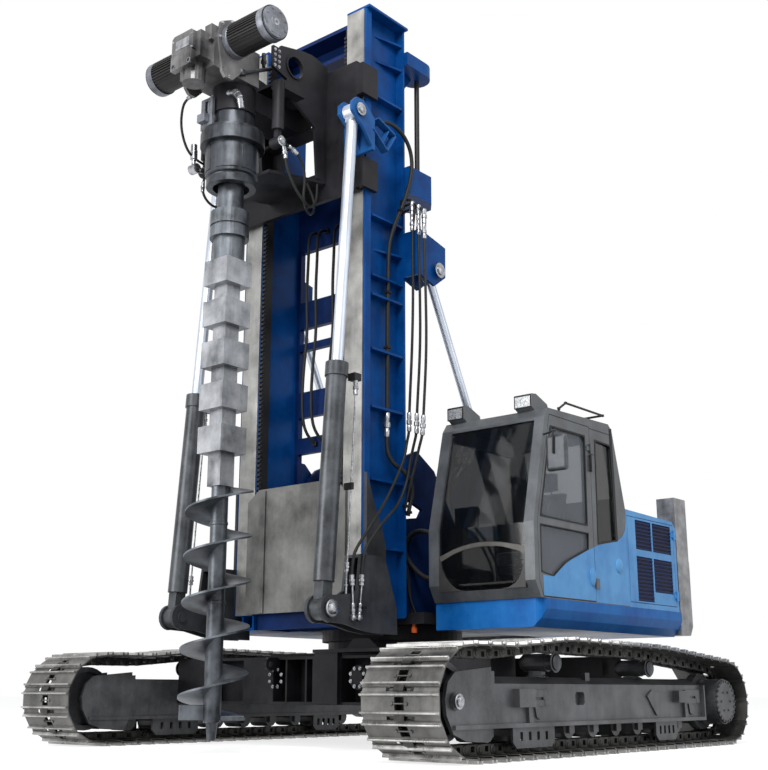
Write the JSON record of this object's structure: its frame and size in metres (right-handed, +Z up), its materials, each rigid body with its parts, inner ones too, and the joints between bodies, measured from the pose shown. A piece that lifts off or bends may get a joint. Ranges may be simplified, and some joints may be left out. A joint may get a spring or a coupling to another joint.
{
  "type": "tracked piling and drilling rig",
  "caption": "Crawler-tracked piling rig with a leaning mast, a sliding rotary head turning a screw auger, feed cylinders, back stays and an operator's cab.",
  "frame": {"origin": "middle of the whole length, on the ground between the tracks", "axes": "+X forward towards the auger, +Y to the machine's left (the cab's side), +Z up"},
  "size_m": [5.52, 4.9, 6.96],
  "materials": {
    "track_steel": "worn bare steel",
    "frame_grey": "satin dark grey paint",
    "dark_grey": "satin near-black paint",
    "royal_blue": "gloss royal blue paint",
    "light_blue": "gloss light blue paint",
    "cab_grey": "satin grey paint",
    "glass": "tinted safety glass",
    "seat_cloth": "woven cloth",
    "black_steel": "black",
    "weight_grey": "satin grey paint",
    "bare_steel": "mottled bare steel",
    "head_grey": "worn dark steel",
    "cylinder_grey": "satin grey paint",
    "chrome": "polished hard chrome"
  },
  "bodies": {
    "chassis": {"track_left": "track_steel", "track_right": "track_steel", "track_frame_left": "frame_grey", "track_frame_right": "frame_grey", "idlers": "frame_grey", "final_drives": "frame_grey", "rollers": "frame_grey", "car_body": "dark_grey"},
    "house": {"slew_ring": "dark_grey", "deck": "dark_grey", "mast_support": "royal_blue", "skirt": "light_blue", "cab_shell": "cab_grey", "cab_glass": "glass", "seat": "seat_cloth", "console": "dark_grey", "roof_lamps": "cab_grey", "roof_rail": "black_steel", "mirror": "cab_grey", "hood": "light_blue", "engine_block": "black_steel", "counterweight": "weight_grey", "right_tank": "light_blue"},
    "cab_door": {"cab_door": "cab_grey", "door_glass": "glass"},
    "hood_door": {"grille_door": "light_blue"},
    "mast": {"mast_column_left": "royal_blue", "mast_column_right": "royal_blue", "mast_cross_frame": "royal_blue", "mast_rails": "bare_steel", "mast_racks": "black_steel", "front_plate": "bare_steel", "foot_plates": "dark_grey", "mast_head": "royal_blue"},
    "carriage": {"carriage": "dark_grey", "rod_brackets": "royal_blue", "gearbox": "head_grey", "motors": "head_grey", "spindle_housing": "dark_grey", "head_cylinders": "dark_grey"},
    "drill": {"drill_shaft": "head_grey", "drill_string": "head_grey", "auger": "head_grey"},
    "feed_barrel_left": {"feed_barrel_left": "cylinder_grey"},
    "feed_rod_left": {"feed_rod_left": "chrome"},
    "feed_barrel_right": {"feed_barrel_right": "cylinder_grey"},
    "feed_rod_right": {"feed_rod_right": "chrome"},
    "stay_barrel_left": {"stay_barrel_left": "cylinder_grey"},
    "stay_rod_left": {"stay_rod_left": "chrome"},
    "stay_barrel_right": {"stay_barrel_right": "cylinder_grey"},
    "stay_rod_right": {"stay_rod_right": "chrome"}
  },
  "joints": [
    {"name": "slew", "type": "hinge", "parent": "chassis", "child": "house", "pos_m": [-0.175, 0, 0.95], "axis": [0, 0, 1], "range_deg": [-30, 30]},
    {"name": "cab_door_hinge", "type": "hinge", "parent": "house", "child": "cab_door", "pos_m": [-0.478, 2.114, 2], "axis": [0, 0, 1], "range_deg": [0, 95]},
    {"name": "hood_door_hinge", "type": "hinge", "parent": "house", "child": "hood_door", "pos_m": [-2.042, 2.114, 1.7], "axis": [0, 0, 1], "range_deg": [0, 100]},
    {"name": "mast_tilt", "type": "hinge", "parent": "house", "child": "mast", "pos_m": [0.415, 0, 2.45], "axis": [0, -1, 0], "range_deg": [-3, 12]},
    {"name": "feed", "type": "slide", "parent": "mast", "child": "carriage", "axis": [0, 0, 1], "range_m": [-1.6, 0.1]},
    {"name": "drill_spin", "type": "hinge", "parent": "carriage", "child": "drill", "pos_m": [2.12, 0, 4], "axis": [0, 0, 1], "continuous": true},
    {"name": "feed_barrel_left_lean", "type": "hinge", "parent": "mast", "child": "feed_barrel_left", "pos_m": [1.795, 0.903, 1.135], "axis": [0, 1, 0], "range_deg": [-2.3, 0.3]},
    {"name": "feed_rod_left_stroke", "type": "slide", "parent": "feed_barrel_left", "child": "feed_rod_left", "axis": [-0.0707, 0, 0.9975], "range_m": [-1.61, 0.11]},
    {"name": "feed_barrel_right_lean", "type": "hinge", "parent": "mast", "child": "feed_barrel_right", "pos_m": [1.795, -0.903, 1.135], "axis": [0, 1, 0], "range_deg": [-2.3, 0.3]},
    {"name": "feed_rod_right_stroke", "type": "slide", "parent": "feed_barrel_right", "child": "feed_rod_right", "axis": [-0.0707, 0, 0.9975], "range_m": [-1.61, 0.11]},
    {"name": "stay_barrel_left_lean", "type": "hinge", "parent": "house", "child": "stay_barrel_left", "pos_m": [-1.035, 0.887, 1.649], "axis": [0, -1, 0], "range_deg": [-2, 7]},
    {"name": "stay_rod_left_stroke", "type": "slide", "parent": "stay_barrel_left", "child": "stay_rod_left", "axis": [0.4502, 0, 0.8929], "range_m": [-0.21, 0.055]},
    {"name": "stay_barrel_right_lean", "type": "hinge", "parent": "house", "child": "stay_barrel_right", "pos_m": [-1.035, -0.887, 1.649], "axis": [0, -1, 0], "range_deg": [-2, 7]},
    {"name": "stay_rod_right_stroke", "type": "slide", "parent": "stay_barrel_right", "child": "stay_rod_right", "axis": [0.4502, 0, 0.8929], "range_m": [-0.21, 0.055]}
  ],
  "couplings": [
    {"joint": "feed_barrel_left_lean", "follows": "feed", "rad_per_m": 0.02269},
    {"joint": "feed_rod_left_stroke", "follows": "feed", "ratio": 0.996},
    {"joint": "feed_barrel_right_lean", "follows": "feed", "rad_per_m": 0.02269},
    {"joint": "feed_rod_right_stroke", "follows": "feed", "ratio": 0.996},
    {"joint": "stay_barrel_left_lean", "follows": "mast_tilt", "ratio": 0.55},
    {"joint": "stay_rod_left_stroke", "follows": "mast_tilt", "m_per_rad": -0.985},
    {"joint": "stay_barrel_right_lean", "follows": "mast_tilt", "ratio": 0.55},
    {"joint": "stay_rod_right_stroke", "follows": "mast_tilt", "m_per_rad": -0.985}
  ]
}
